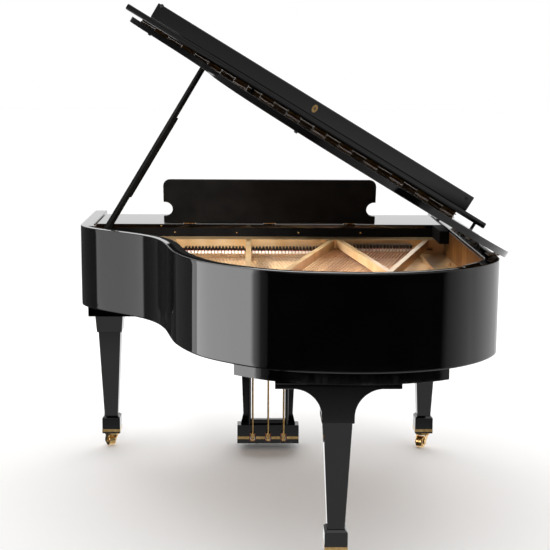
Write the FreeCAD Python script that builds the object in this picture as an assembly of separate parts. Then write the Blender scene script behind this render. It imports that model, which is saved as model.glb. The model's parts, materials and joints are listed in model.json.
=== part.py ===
import FreeCAD, Part
import math
import os

V = FreeCAD.Vector

# Case
case_length = 1700.0
rim_top = 985.0
rim_bottom = 670.0
rim_thick = 50.0
lining_thick = 3.0
lining_drop = 12.0
rim_lip = 22.0
rebate_depth = 3.0
rebate_front = 580.0
rebate_bass = -600.0
inner_rim_thick = 60.0
inner_rim_bottom = 690.0
inner_rim_top = 845.0
belly_front = 470.0
belly_thick = 45.0
arm_round = 45.0
arm_front_top = 930.0
overrun = 20.0
seat_gap = 0.5
running_gap = 0.05
side_gap = 1.0

# Treble bend and tail, as shares of the half width and of the length
bend_start_share = 0.309
tail_end_share = 0.80
bend_shares = (
    (0.933, 0.380), (0.800, 0.434), (0.673, 0.484), (0.583, 0.534), (0.528, 0.591),
    (0.492, 0.659), (0.455, 0.735), (0.388, 0.812), (0.327, 0.859), (0.163, 0.930),
    (-0.016, 0.977), (-0.227, 0.9965), (-0.373, 1.0), (-0.533, 0.992), (-0.707, 0.967),
    (-0.853, 0.921), (-0.953, 0.865),
)

# Bottom of the case
beam_width = 70.0
beam_bottom = 700.0
beam_top = 800.0
plinth_inset = 16.0
plinth_bottom = 630.0
plinth_length = 500.0
plinth_treble = 130.0
plinth_bass = -555.0
keybed_bottom = 600.0
keybed_floor = 650.0
keybed_front = 12.0
keybed_back = 470.0
keybed_inset = 15.0

# Soundboard, bridges, plate and strings
soundboard_thick = 8.0
plate_top = 872.0
plate_flange = 95.0
plate_front = 310.0
plate_front_back = 535.0
plate_wall_thick = 14.0
web_top = 928.0
web_thick = 15.0
web_wall_bottom = 893.0
strut_bottom = 896.0
strut_width = 20.0
strut_foot = 46.0
pinblock_thick = 40.0
pinblock_front = 318.0
pinblock_back = 428.0
pin_radius = 3.4
pin_stand = 20.0
pin_row_front = 335.0
pin_row_step = 26.0
pin_rows = 3
string_level = 880.0
bass_level = 888.5
steel_radius = 0.6
copper_radius = 1.9
string_front = 524.0
string_margin = 39.0
note_count = 88
bass_count = 26
bridge_width = 32.0
bridge_gap = 0.3
hitch_inset = 125.0
tenor_hitch_inset = 295.0
hitch_web_front = 20.0
hitch_web_back = 26.0
bridge_relief = 6.0
damper_row = 585.0
damper_width = 9.0
damper_length = 34.0
damper_felt = 12.0
damper_head = 14.0
damper_lift = 0.3
damper_count = 70
damper_side_gap = 2.0

# Keyboard
white_pitch = 23.5
white_count = 52
white_width = 22.7
white_top = 730.0
white_thick = 21.0
key_front = 30.0
key_back = 268.0
key_head = 222.0
black_width = 10.0
black_length = 96.0
black_rise = 12.0
black_bevel = 5.0
black_gap = 1.2
balance_line = 252.0
key_block_width = 89.0
key_block_front = 26.0
key_block_back = 190.0
key_block_top = 754.0
key_slip_front = 4.0
key_slip_back = 24.0
key_slip_top = 716.0
key_frame_front = 40.0
key_frame_back = 300.0
key_frame_rail = 34.0
key_frame_board = 20.0
front_rail_top = 690.0
balance_ridge = 6.0
rest_gap = 0.3
fall_hinge_y = 202.0
fall_hinge_z = 772.0
fall_length = 168.0
fall_drop = 20.0
fall_thick = 16.0
fall_lip = 26.0
fall_lean_angle = 8.0
fall_pin_radius = 4.0
fall_pin_length = 10.0

# Music shelf and desk
shelf_front = 118.0
shelf_back = 452.0
shelf_top = 978.0
shelf_thick = 16.0
rail_thick = 20.0
side_block_width = 37.0
side_block_back = 650.0
desk_width = 850.0
desk_height = 182.0
desk_thick = 14.0
desk_round = 28.0
desk_notch_low = 28.0
desk_notch_high = 88.0
desk_notch_deep = 36.0
desk_hinge_y = 446.0
desk_lean_angle = 14.0
desk_face = 2.0
desk_hinge_radius = 4.0
desk_hinge_pin = 1.6
desk_hinge_length = 46.0
desk_leaf_thick = 1.6
desk_leaf_length = 16.0
desk_bottom_gap = 0.5
desk_hinge_shares = (-0.76, 0.0, 0.76)

# Lid
lid_thick = 22.0
lid_gap = 8.0
lid_overhang = 16.0
lid_open_angle = 31.0
lid_hinge_out = 7.0
lid_hinge_radius = 3.6
lid_knuckle_gap = 0.6
lid_pin_radius = 1.8
lid_leaf_thick = 1.8
lid_leaf_width = 34.0
lid_hinge_length = 66.0
lid_hinge_shares = (0.30, 0.53, 0.76)
lid_split = 452.0
flap_gap = 1.0
flap_front = 12.0
flap_hinge_rise = 7.0
flap_hinge_radius = 5.0
flap_web = 4.0
flap_pin_radius = 1.8
flap_leaf_thick = 1.8
flap_leaf_width = 30.0
flap_hinge_inset = 33.0
flap_knuckle_count = 24
apron_thick = 20.0
apron_height = 58.0
apron_inset = 92.0
escutcheon_width = 20.0
escutcheon_height = 30.0
escutcheon_thick = 1.6
keyhole_radius = 2.2
keyhole_slot = 2.6
keyhole_drop = 8.0
bumper_radius = 6.0
bumper_height = 7.6
spacer_gap = 0.4

# Prop stick
prop_inset = 92.0
prop_foot_back = 25.0
prop_foot_rise = 21.0
prop_reach_y = 480.0
prop_lid_run = 1191.0
prop_width = 27.0
prop_depth = 16.0
prop_tip_width = 16.0
prop_tip_gap = 0.6
prop_pin_radius = 4.0
prop_eye = 14.0
prop_shoulder = 2.0
prop_fold_share = (-0.63, 0.776, 0.0)
bracket_thick = 6.0
bracket_gap = 0.4
bracket_half = 12.0
bracket_drop = 60.0
bracket_base_half = 34.0
bracket_base_thick = 3.0
cup_radius = 17.0
cup_height = 9.0
cup_bore = 11.5
half_stick_length = 360.0
half_stick_width = 15.0
half_stick_depth = 9.0
half_stick_foot = 180.0
half_pin_radius = 2.5
half_stick_gap = 0.5

# Legs and casters
leg_inset = 85.0
leg_y = 294.0
tail_leg_x = -200.0
tail_leg_inset = 88.0
leg_top_width = 92.0
leg_foot_width = 56.0
leg_foot = 140.0
leg_head = 508.0
collar_top_width = 118.0
collar_bottom_width = 104.0
bracket_foot = 500.0
bracket_plate_width = 400.0
bracket_plate_thick = 18.0
bracket_depth = 110.0
bracket_foot_width = 104.0
bracket_arc_inset = 62.0
ferrule_width = 75.0
ferrule_bottom = 66.0
ferrule_chamfer = 8.0
socket_radius = 33.0
socket_bottom = 60.0
fork_disc_radius = 31.0
fork_disc_top = 59.5
fork_disc_thick = 4.0
stem_radius = 6.0
stem_top = 109.0
fork_cheek = 5.0
fork_cheek_width = 36.0
wheel_radius = 25.0
wheel_width = 16.0
wheel_round = 6.0
wheel_gap = 0.5
axle_radius = 3.0
trail = 20.0
axle_boss = 11.0
caster_turn_angles = (-28.0, 207.0, 140.0)

# Lyre
lyre_y = 320.0
lyre_box_width = 260.0
lyre_box_front = 232.0
lyre_box_back = 356.0
lyre_box_bottom = 30.0
lyre_box_top = 82.0
lyre_board_front = 296.0
lyre_board_top = 110.0
pillar_in = 72.0
pillar_foot_out = 116.0
pillar_waist_out = 105.0
pillar_head_out = 122.0
pillar_depth = 30.0
pillar_waist_depth = 24.0
pillar_waist = 155.0
lyre_head_thick = 26.0
lyre_head_width = 256.0
lyre_head_depth = 70.0
brace_radius = 7.0
brace_x = 79.0
brace_foot = 346.0
brace_back = 445.0
pedal_pitch = 65.0
pedal_width = 15.0
pedal_thick = 9.0
pedal_front = 148.0
pedal_pad_width = 38.0
pedal_pad_length = 80.0
pedal_level = 52.0
pedal_slot_gap = 4.0
pedal_slot_bottom = 38.0
pedal_slot_top = 74.0
pedal_pivot_y = 300.0
pedal_pin_radius = 3.0
pedal_pin_reach = 6.0
pedal_tail = 380.0
rod_radius = 4.0
rod_y = 370.0
rod_top = 640.0
rod_gap = 0.6
rod_hole_gap = 3.0
rod_block = 16.0
rod_block_rise = 5.0


def box(x0, y0, z0, x1, y1, z1):
    return Part.makeBox(x1 - x0, y1 - y0, z1 - z0, V(x0, y0, z0))


def rod(foot, tip, radius):
    axis = V(*tip).sub(V(*foot))
    return Part.makeCylinder(radius, axis.Length, V(*foot), axis)


def prism(points, along):
    wire = Part.makePolygon([V(*p) for p in points] + [V(*points[0])])
    return Part.Face(wire).extrude(V(*along))


def taper(x, y, z0, side0, z1, side1):
    wires = []
    for z, side in ((z0, side0), (z1, side1)):
        h = side / 2
        corners = ((-h, -h), (h, -h), (h, h), (-h, h), (-h, -h))
        wires.append(Part.makePolygon([V(x + a, y + b, z) for a, b in corners]))
    return Part.makeLoft(wires, True, True)


def fuse(shapes):
    return shapes[0].fuse(shapes[1:]).removeSplitter()


def turned(shape, base, axis, degrees):
    copy = shape.copy()
    copy.rotate(V(*base), V(*axis), degrees)
    return copy


keys_half = white_pitch * white_count / 2
half_width = keys_half + key_block_width + rim_thick
bend_start = case_length * bend_start_share
tail_end = case_length * tail_end_share


def smooth_curve(points):
    # A curve through the points that leaves and meets the straight sides without a kink
    places = [0.0]
    for a, b in zip(points, points[1:]):
        places.append(places[-1] + b.sub(a).Length)
    curve = Part.BSplineCurve()
    curve.interpolate(Points=points, Parameters=places, InitialTangent=V(0, 1, 0),
                      FinalTangent=V(0, -1, 0), Scale=False)
    return curve


def bend_curve():
    points = [V(half_width, bend_start, 0)]
    for across, along in bend_shares:
        points.append(V(half_width * across, case_length * along, 0))
    points.append(V(-half_width, tail_end, 0))
    return smooth_curve(points)


base_curve = bend_curve()
curve_samples = 56


def inset_curve(inset):
    if inset == 0:
        return base_curve
    points = []
    first = base_curve.FirstParameter
    last = base_curve.LastParameter
    for i in range(curve_samples + 1):
        t = first + (last - first) * i / curve_samples
        p = base_curve.value(t)
        d = base_curve.tangent(t)[0]
        points.append(V(p.x - d.y * inset, p.y + d.x * inset, 0))
    return smooth_curve(points)


def plan_face(inset, front):
    side = half_width - inset
    corners = [V(-side, tail_end, 0), V(-side, front, 0), V(side, front, 0), V(side, bend_start, 0)]
    edges = [inset_curve(inset).toShape()]
    for a, b in zip(corners, corners[1:]):
        edges.append(Part.makeLine(a, b))
    return Part.Face(Part.Wire(edges))


def slab(inset, front, bottom, top):
    face = plan_face(inset, min(front, 0))
    face.translate(V(0, 0, bottom))
    solid = face.extrude(V(0, 0, top - bottom))
    if front <= 0:
        return solid
    reach = half_width - inset + overrun
    return solid.cut(box(-reach, -overrun, bottom - overrun, reach, front, top + overrun))


parts = {}

# Case: rim, lining, inner rim, beams and plinth
lining_inset = rim_thick + lining_thick
inner_inset = rim_thick + inner_rim_thick


def arm_nose():
    points = (
        (-half_width - overrun, -overrun, rim_top + overrun),
        (-half_width - overrun, arm_round, rim_top + overrun),
        (-half_width - overrun, arm_round, rim_top),
        (-half_width - overrun, 0, arm_front_top),
        (-half_width - overrun, -overrun, arm_front_top),
    )
    return prism(points, (half_width + half_width + overrun + overrun, 0, 0))


rim = slab(0, 0, rim_bottom, rim_top)
rim = rim.cut(slab(rim_thick, -overrun, rim_bottom - overrun, rim_top + overrun))
fall_pin_reach = half_width - rim_thick + fall_pin_length
fall_bore = rod((-fall_pin_reach - running_gap, fall_hinge_y, fall_hinge_z),
                (fall_pin_reach + running_gap, fall_hinge_y, fall_hinge_z),
                fall_pin_radius + running_gap)
# A shallow rebate inside the lip of the rim's top, round the bend and the tail
rebate = slab(rim_lip, rebate_front, rim_top - rebate_depth, rim_top + overrun)
rebate = rebate.common(box(rebate_bass, rebate_front, 0, half_width, case_length, rim_top + overrun))
parts["outer_rim"] = rim.cut([arm_nose(), fall_bore, rebate])

lining = slab(rim_thick, plate_front, inner_rim_top, rim_top - lining_drop)
lining = lining.cut(slab(lining_inset, plate_front - overrun, 0, rim_top))
parts["rim_lining"] = lining

inner = slab(rim_thick, belly_front, inner_rim_bottom, inner_rim_top)
hollow = slab(inner_inset, belly_front + belly_thick, 0, rim_top)
parts["inner_rim"] = inner.cut(hollow)

beam_head_shares = (-0.62, -0.25, 0.12, 0.50)
beam_foot_shares = (-0.55, -0.35, -0.15, 0.05)
beam_back = case_length
well = slab(inner_inset, belly_front + belly_thick, beam_bottom, beam_top)
beams = []
for head, foot in zip(beam_head_shares, beam_foot_shares):
    x0 = half_width * head
    x1 = half_width * foot
    h = beam_width / 2
    corners = ((x0 - h, belly_front, beam_bottom), (x0 + h, belly_front, beam_bottom),
               (x1 + h, beam_back, beam_bottom), (x1 - h, beam_back, beam_bottom))
    beams.append(prism(corners, (0, 0, beam_top - beam_bottom)).common(well))
parts["back_beams"] = Part.makeCompound([s for b in beams for s in b.Solids])

tail_block = box(plinth_bass, case_length - plinth_length, plinth_bottom,
                 plinth_treble, case_length, rim_bottom)
parts["tail_plinth"] = slab(plinth_inset, 0, plinth_bottom, rim_bottom).common(tail_block)

keybed_half = half_width - keybed_inset
keybed = box(-keybed_half, keybed_front, keybed_bottom, keybed_half, keybed_back, rim_bottom)
key_room = half_width - rim_thick
keybed = keybed.cut(box(-key_room, -overrun, keybed_floor, key_room, keybed_back + overrun, rim_top))
for place in (-1, 0, 1):
    x = place * pedal_pitch
    keybed = keybed.cut(rod((x, rod_y, 0), (x, rod_y, rim_top), rod_radius + rod_hole_gap))
parts["key_bed"] = keybed

# Soundboard, bridges and plate
parts["soundboard"] = slab(lining_inset, belly_front, inner_rim_top, inner_rim_top + soundboard_thick)
board_top = inner_rim_top + soundboard_thick

strut_shares = (
    ((0.513, 0.315), (0.470, 0.520)),
    ((0.113, 0.315), (0.113, 0.960)),
    ((-0.330, 0.315), (0.083, 0.988)),
    ((-0.370, 0.315), (-0.600, 1.0)),
    ((-0.831, 0.315), (-0.372, 1.0)),
)


def strut_line(ends):
    return [(half_width * a, case_length * b) for a, b in ends]


def strut(ends, bottom, width):
    (x0, y0), (x1, y1) = strut_line(ends)
    h = width / 2
    points = ((x0 - h, y0, bottom), (x0 + h, y0, bottom), (x1 + h, y1, bottom), (x1 - h, y1, bottom))
    return prism(points, (0, 0, web_top - bottom))


string_half_span = keys_half - string_margin
string_pitch = (string_half_span + string_half_span) / (note_count - 1)


def string_x(note):
    return note * string_pitch - string_half_span


treble_bridge_shares = ((0.590, 0.358), (0.465, 0.413), (0.355, 0.48), (0.285, 0.56), (0.250, 0.635),
                        (0.175, 0.715), (0.04, 0.757), (-0.16, 0.772), (-0.42, 0.772), (-0.66, 0.745))
bass_bridge_shares = ((-0.60, 0.868), (-0.34, 0.875), (-0.09, 0.858))


def ribbon(shares, width, bottom, top):
    middle = Part.BSplineCurve()
    middle.interpolate([V(half_width * a, case_length * b, bottom) for a, b in shares])
    rails = []
    for side in (-1, 1):
        points = []
        for i in range(curve_samples // 2 + 1):
            span = middle.LastParameter - middle.FirstParameter
            t = middle.FirstParameter + span * i / (curve_samples // 2)
            p = middle.value(t)
            d = middle.tangent(t)[0]
            points.append(p.add(V(-d.y, d.x, 0).multiply(side * width / 2)))
        rail = Part.BSplineCurve()
        rail.interpolate(points)
        rails.append(rail)
    a, b = rails
    ends = [Part.makeLine(a.StartPoint, b.StartPoint), Part.makeLine(a.EndPoint, b.EndPoint)]
    wire = Part.Wire([a.toShape(), ends[1], b.toShape(), ends[0]])
    return Part.Face(wire).extrude(V(0, 0, top - bottom))


flange = slab(lining_inset, plate_front_back - plate_wall_thick, board_top, plate_top)
window = slab(lining_inset + plate_flange, plate_front_back, 0, rim_top)
hitch_line_y = case_length - tenor_hitch_inset
flange = flange.cut(window).fuse(box(-half_width, hitch_line_y - hitch_web_front, board_top,
                                     half_width, hitch_line_y + hitch_web_back, plate_top))
relief = bridge_width + bridge_relief + bridge_relief
flange = flange.cut([ribbon(shares, relief, board_top, plate_top)
                     for shares in (treble_bridge_shares, bass_bridge_shares)])
web_half = half_width - lining_inset
web = box(-web_half, plate_front, web_top - web_thick, web_half, plate_front_back, web_top)
wall = box(-web_half, plate_front_back - plate_wall_thick, web_wall_bottom,
           web_half, plate_front_back, web_top)
pieces = [flange, web, wall]
edge = slab(lining_inset, plate_front_back, board_top, web_top)
for side in (-1, 1):
    x0 = side * web_half
    x1 = side * (web_half - strut_foot)
    pieces.append(box(min(x0, x1), plate_front, board_top, max(x0, x1), plate_front_back, web_top))
bass_edge = (string_x(bass_count - 1) + string_x(bass_count)) / 2
bar_front = plate_front_back - plate_wall_thick
pieces.append(box(-web_half, bar_front, board_top, bass_edge, plate_front_back,
                  bass_level - copper_radius - bridge_gap))
pieces.append(box(bass_edge, bar_front, board_top, web_half, plate_front_back,
                  string_level - steel_radius - bridge_gap))
for ends in strut_shares:
    bar = strut(ends, strut_bottom, strut_width).common(edge)
    foot_zone = slab(lining_inset, plate_front_back, board_top, web_top).cut(
        slab(lining_inset + strut_foot, plate_front_back - overrun, 0, rim_top))
    foot = strut(ends, board_top, strut_width).common(foot_zone)
    pieces += bar.Solids + foot.Solids
parts["iron_plate"] = fuse(pieces).common(slab(lining_inset, plate_front, board_top, web_top))

block_half = web_half - strut_foot
web_bottom = web_top - web_thick
parts["pin_block"] = box(-block_half, pinblock_front, web_bottom - pinblock_thick,
                         block_half, pinblock_back, web_bottom)

pins = []
for note in range(note_count):
    y = pin_row_front + pin_row_step * (note % pin_rows)
    pins.append(Part.makeCylinder(pin_radius, pin_stand, V(string_x(note), y, web_top)))
parts["tuning_pins"] = Part.makeCompound(pins)

# Strings run back from the capo bar to the hitch line inside the rim
bass_slope_share = 0.26
tenor_slope_share = -0.15
treble_slope_share = -0.05
hitch_samples = 240


def hitch_line():
    curve = inset_curve(hitch_inset)
    first = curve.FirstParameter
    last = curve.LastParameter
    side = half_width - hitch_inset
    points = [(side, 0.0)]
    for i in range(hitch_samples + 1):
        p = curve.value(first + (last - first) * i / hitch_samples)
        points.append((p.x, p.y))
    points.append((-side, 0.0))
    return points


hitch_points = hitch_line()


def string_slope(note):
    if note < bass_count:
        return bass_slope_share
    along = (note - bass_count) / (note_count - 1 - bass_count)
    return tenor_slope_share + (treble_slope_share - tenor_slope_share) * along


def string_end(note):
    x = string_x(note)
    slope = string_slope(note)
    for (ax, ay), (bx, by) in zip(hitch_points, hitch_points[1:]):
        fa = ax - x - slope * (ay - string_front)
        fb = bx - x - slope * (by - string_front)
        if fa * fb <= 0 and fa != fb:
            share = fa / (fa - fb)
            y = ay + (by - ay) * share
            if note >= bass_count:
                y = min(y, case_length - tenor_hitch_inset)
            if y > string_front:
                return x + slope * (y - string_front), y
    return x, damper_row


def string_level_of(note):
    return bass_level if note < bass_count else string_level


steel = []
copper = []
for note in range(note_count):
    z = string_level_of(note)
    radius = copper_radius if note < bass_count else steel_radius
    x, y = string_end(note)
    wire = rod((string_x(note), string_front, z), (x, y, z), radius)
    (copper if note < bass_count else steel).append(wire)
parts["steel_strings"] = Part.makeCompound(steel)
parts["copper_strings"] = Part.makeCompound(copper)

treble_bridge = ribbon(treble_bridge_shares, bridge_width, board_top,
                       string_level - steel_radius - bridge_gap)
bass_bridge = ribbon(bass_bridge_shares, bridge_width, board_top,
                     bass_level - copper_radius - bridge_gap)
parts["bridges"] = Part.makeCompound([treble_bridge, bass_bridge])

heads = []
felts = []
placed = []
for note in range(damper_count):
    z = string_level_of(note) + (copper_radius if note < bass_count else steel_radius) + damper_lift
    x = string_x(note) + string_slope(note) * (damper_row - string_front)
    clear = all(abs(x - other) > damper_width + seat_gap for other in placed)
    for ends in strut_shares:
        (x0, y0), (x1, y1) = strut_line(ends)
        middle = x0 + (x1 - x0) * (damper_row - y0) / (y1 - y0)
        room = damper_width / 2 + strut_width / 2 + damper_side_gap
        lean = abs((x1 - x0) / (y1 - y0)) * damper_length / 2
        clear = clear and abs(x - middle) > room + lean
    if clear:
        placed.append(x)
        h = damper_width / 2
        y0 = damper_row - damper_length / 2
        y1 = damper_row + damper_length / 2
        felts.append(box(x - h, y0, z, x + h, y1, z + damper_felt))
        heads.append(box(x - h, y0, z + damper_felt, x + h, y1, z + damper_felt + damper_head))
parts["damper_felts"] = Part.makeCompound(felts)
parts["damper_heads"] = Part.makeCompound(heads)

# Keyboard
black_lean_shares = {0: -0.16, 1: 0.16, 3: -0.22, 4: 0.0, 5: 0.22}


def octave_place(index):
    # The lowest white key is an A
    return (index + 5) % 7


blacks = []
cuts = []
notch_back = key_back + overrun
for index in range(white_count - 1):
    place = octave_place(index)
    if place not in black_lean_shares:
        continue
    lean = black_lean_shares[place] * black_width
    x = -keys_half + white_pitch * (index + 1) + lean
    y0 = key_head - black_length
    h = black_width / 2
    top = white_top + black_rise
    low = white_top - white_thick
    side = box(x - h, y0, low, x + h, key_back, top)
    nose = prism(((x - h, y0, top), (x - h, y0, white_top), (x - h, y0 + black_bevel, top)),
                 (black_width, 0, 0))
    blacks.append(side.cut(nose))
    g = h + black_gap
    cuts.append(box(x - g, y0 - black_gap, low - overrun, x + g, notch_back, top))
whites = []
for index in range(white_count):
    x = -keys_half + white_pitch * (index + 0.5)
    h = white_width / 2
    key = box(x - h, key_front, white_top - white_thick, x + h, key_back, white_top)
    near = [c for c in cuts if abs(c.BoundBox.Center.x - x) < white_pitch]
    whites.append(key.cut(near))
parts["white_keys"] = Part.makeCompound(whites)
parts["black_keys"] = Part.makeCompound(blacks)

ridge_half = balance_ridge / 2
parts["key_frame"] = fuse([
    box(-keys_half, key_frame_front, keybed_floor,
        keys_half, key_frame_front + key_frame_rail, front_rail_top),
    box(-keys_half, key_frame_front, keybed_floor,
        keys_half, key_frame_back, keybed_floor + key_frame_board),
    box(-keys_half, balance_line - ridge_half, keybed_floor, keys_half, balance_line + ridge_half,
        white_top - white_thick - rest_gap)])

blocks = []
for side in (-1, 1):
    x0 = side * (keys_half + side_gap)
    x1 = side * key_room
    blocks.append(box(min(x0, x1), key_block_front, keybed_floor, max(x0, x1), key_block_back,
                      key_block_top))
parts["key_blocks"] = Part.makeCompound(blocks)

parts["key_slip"] = box(-key_room, key_slip_front, keybed_bottom + overrun, key_room, keybed_front,
                        key_slip_top).fuse(
    box(-key_room, keybed_front, keybed_floor, key_room, key_slip_back, key_slip_top)).removeSplitter()

# Fallboard, open, leaning back
fall_half = key_room - side_gap
fall_y0 = fall_hinge_y - fall_thick / 2
fall_y1 = fall_hinge_y + fall_thick / 2
fall_top = fall_hinge_z + fall_length
fall = fuse([
    box(-fall_half, fall_y0, fall_hinge_z - fall_drop, fall_half, fall_y1, fall_top),
    box(-keys_half, fall_y0 - fall_lip, fall_top - fall_thick, keys_half, fall_y0, fall_top),
    rod((-fall_pin_reach, fall_hinge_y, fall_hinge_z), (fall_pin_reach, fall_hinge_y, fall_hinge_z),
        fall_pin_radius)])
parts["fallboard"] = turned(fall, (0, fall_hinge_y, fall_hinge_z), (1, 0, 0), -fall_lean_angle)

# Music shelf, its rear rail and the folding desk
shelf_bottom = shelf_top - shelf_thick
parts["music_shelf"] = box(-web_half, shelf_front, shelf_bottom, web_half, shelf_back, shelf_top)
rear_rail = box(-web_half, shelf_back - rail_thick, web_top, web_half, shelf_back, shelf_bottom)
side_block = box(-web_half, shelf_back, web_top, side_block_width - web_half, side_block_back, shelf_top)
parts["shelf_rail"] = Part.makeCompound([rear_rail, side_block])

desk_hinge_z = shelf_top + desk_hinge_radius
desk_bottom = desk_hinge_z + desk_hinge_radius + desk_bottom_gap


def desk_outline():
    h = desk_width / 2
    y = desk_hinge_y - desk_face
    low = desk_bottom
    top = low + desk_height
    edges = [Part.makeLine(V(-h, y, low), V(h, y, low))]
    for side in (1, -1):
        e = side * h
        n = side * (h - desk_notch_deep)
        r = side * (h - desk_round)
        z0 = low + desk_notch_low
        z1 = low + desk_notch_high
        middle = (z0 + z1) / 2
        root = desk_round * (1 - math.sqrt(0.5))
        edges.append(Part.makeLine(V(e, y, low), V(e, y, z0)))
        edges.append(Part.Arc(V(e, y, z0), V(n, y, middle), V(e, y, z1)).toShape())
        edges.append(Part.makeLine(V(e, y, z1), V(e, y, top - desk_round)))
        edges.append(Part.Arc(V(e, y, top - desk_round), V(e - side * root, y, top - root),
                              V(r, y, top)).toShape())
    edges.append(Part.makeLine(V(h - desk_round, y, top), V(desk_round - h, y, top)))
    return Part.Face(Part.Wire(Part.__sortEdges__(edges)))


desk_axis = (0, desk_hinge_y, desk_hinge_z)
desk = desk_outline().extrude(V(0, desk_thick, 0))
parts["desk_panel"] = turned(desk, desk_axis, (1, 0, 0), -desk_lean_angle)

shelf_knuckles = []
desk_knuckles = []
for share in desk_hinge_shares:
    x = share * desk_width / 2
    q = desk_hinge_length / 4
    pin = rod((x - q - q, desk_hinge_y, desk_hinge_z), (x + q + q, desk_hinge_y, desk_hinge_z),
              desk_hinge_pin)
    pieces = [pin]
    for a, b in ((x - q - q, x - q - side_gap), (x + q + side_gap, x + q + q)):
        pieces.append(rod((a, desk_hinge_y, desk_hinge_z), (b, desk_hinge_y, desk_hinge_z),
                          desk_hinge_radius))
        pieces.append(box(a, desk_hinge_y - desk_leaf_length, shelf_top, b, desk_hinge_y,
                          shelf_top + desk_leaf_thick))
    shelf_knuckles.append(fuse(pieces))
    eye = rod((x - q, desk_hinge_y, desk_hinge_z), (x + q, desk_hinge_y, desk_hinge_z), desk_hinge_radius)
    leaf = box(x - q, desk_hinge_y - desk_face, desk_bottom - desk_leaf_thick, x + q,
               desk_hinge_y - desk_face + desk_thick, desk_bottom)
    bore = rod((x - q - q, desk_hinge_y, desk_hinge_z), (x + q + q, desk_hinge_y, desk_hinge_z),
               desk_hinge_pin + running_gap)
    desk_knuckles.append(turned(fuse([eye, leaf]).cut(bore), desk_axis, (1, 0, 0), -desk_lean_angle))
parts["desk_hinges"] = Part.makeCompound(shelf_knuckles)
parts["desk_hinge_leaves"] = Part.makeCompound(desk_knuckles)

# Lid and flap, drawn closed, then folded and opened
lid_bottom = rim_top + lid_gap
lid_top = lid_bottom + lid_thick
lid_hinge_z = rim_top + lid_gap / 2
lid_hinge_x = -half_width - lid_hinge_out
lid_axis = (lid_hinge_x, 0, lid_hinge_z)
flap_axis = (0, lid_split - flap_gap / 2, lid_top + flap_hinge_rise)
lid_half = half_width + lid_overhang


def opened(shape):
    return turned(shape, lid_axis, (0, 1, 0), -lid_open_angle)


def folded(shape):
    return opened(turned(shape, flap_axis, (1, 0, 0), 180))


def knuckle_row(place, axis, length, radius, pin_radius, along):
    # Two outer knuckles with their pin, and the bored middle knuckle between them
    q = length / 4
    def at(offset):
        return tuple(c + d * (place + offset) for c, d in zip(axis, along))
    outer = [rod(at(-q - q), at(-q - side_gap), radius), rod(at(q + side_gap), at(q + q), radius),
             rod(at(-q - q), at(q + q), pin_radius)]
    bore = rod(at(-length), at(length), pin_radius + running_gap)
    middle = rod(at(-q), at(q), radius)
    return outer, middle, bore


parts["main_lid"] = opened(slab(-lid_overhang, lid_split, lid_bottom, lid_top))
flap_edge = lid_split - flap_gap
parts["flap_panel"] = folded(box(-lid_half, flap_front, lid_bottom, lid_half, flap_edge, lid_top))
apron_half = lid_half - apron_inset
parts["flap_apron"] = folded(box(-apron_half, flap_front, lid_bottom - apron_height, apron_half,
                                 flap_front + apron_thick, lid_bottom))

case_leaves = []
lid_leaves = []
for share in lid_hinge_shares:
    y = case_length * share
    q = lid_hinge_length / 4
    outer, middle, bore = knuckle_row(y, lid_axis, lid_hinge_length, lid_hinge_radius,
                                      lid_pin_radius, (0, 1, 0))
    near = lid_hinge_x + lid_hinge_radius + lid_knuckle_gap
    far = lid_hinge_x + lid_leaf_width
    for y0, y1 in ((y - q - q, y - q - side_gap), (y + q + side_gap, y + q + q)):
        outer.append(box(lid_hinge_x, y0, rim_top, far, y1, rim_top + lid_leaf_thick))
    outer.append(box(near, y - q - q, rim_top, far, y + q + q, rim_top + lid_leaf_thick))
    case_leaves.append(fuse(outer))
    leaf = [middle, box(lid_hinge_x, y - q, lid_bottom - lid_leaf_thick, far, y + q, lid_bottom),
            box(near, y - q - q, lid_bottom - lid_leaf_thick, far, y + q + q, lid_bottom)]
    lid_leaves.append(opened(fuse(leaf).cut(bore)))
parts["lid_hinges"] = Part.makeCompound(case_leaves)
parts["lid_hinge_leaves"] = Part.makeCompound(lid_leaves)

hinge_half = lid_half - flap_hinge_inset
knuckle = (hinge_half + hinge_half) / flap_knuckle_count
flap_y = flap_axis[1]
flap_z = flap_axis[2]
leaf_top = lid_top + flap_leaf_thick
pin_ends = (-hinge_half, flap_y, flap_z), (hinge_half, flap_y, flap_z)
lid_side = [rod(*pin_ends, flap_pin_radius),
            box(-hinge_half, lid_split + flap_web, lid_top,
                hinge_half, lid_split + flap_leaf_width, leaf_top)]
flap_side = [box(-hinge_half, flap_edge - flap_leaf_width, lid_top,
                 hinge_half, flap_edge - flap_web, leaf_top)]
for i in range(flap_knuckle_count):
    x0 = i * knuckle - hinge_half + side_gap / 2
    x1 = x0 + knuckle - side_gap
    eye = rod((x0, flap_y, flap_z), (x1, flap_y, flap_z), flap_hinge_radius)
    if i % 2 == 0:
        lid_side += [eye, box(x0, lid_split, lid_top, x1, lid_split + flap_web, flap_z)]
    else:
        flap_side += [eye, box(x0, flap_edge - flap_web, lid_top, x1, flap_edge, flap_z)]
parts["flap_hinges"] = opened(fuse(lid_side))
parts["flap_hinge_leaves"] = folded(fuse(flap_side).cut(rod(*pin_ends, flap_pin_radius + running_gap)))

plate_z = lid_bottom - apron_height / 2
oval = Part.Ellipse(V(0, 0, 0), escutcheon_height / 2, escutcheon_width / 2).toShape()
shield = Part.Face(Part.Wire(oval)).extrude(V(0, 0, escutcheon_thick))
shield = turned(turned(shield, (0, 0, 0), (0, 1, 0), -90), (0, 0, 0), (0, 0, 1), 90)
shield.translate(V(0, flap_front, plate_z))
shield = shield.cut([
    rod((0, 0, plate_z), (0, flap_front + overrun, plate_z), keyhole_radius + keyhole_slot / 2),
    box(-keyhole_slot / 2, 0, plate_z - keyhole_drop, keyhole_slot / 2, flap_front, plate_z)])
parts["lock_escutcheon"] = folded(shield)

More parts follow.
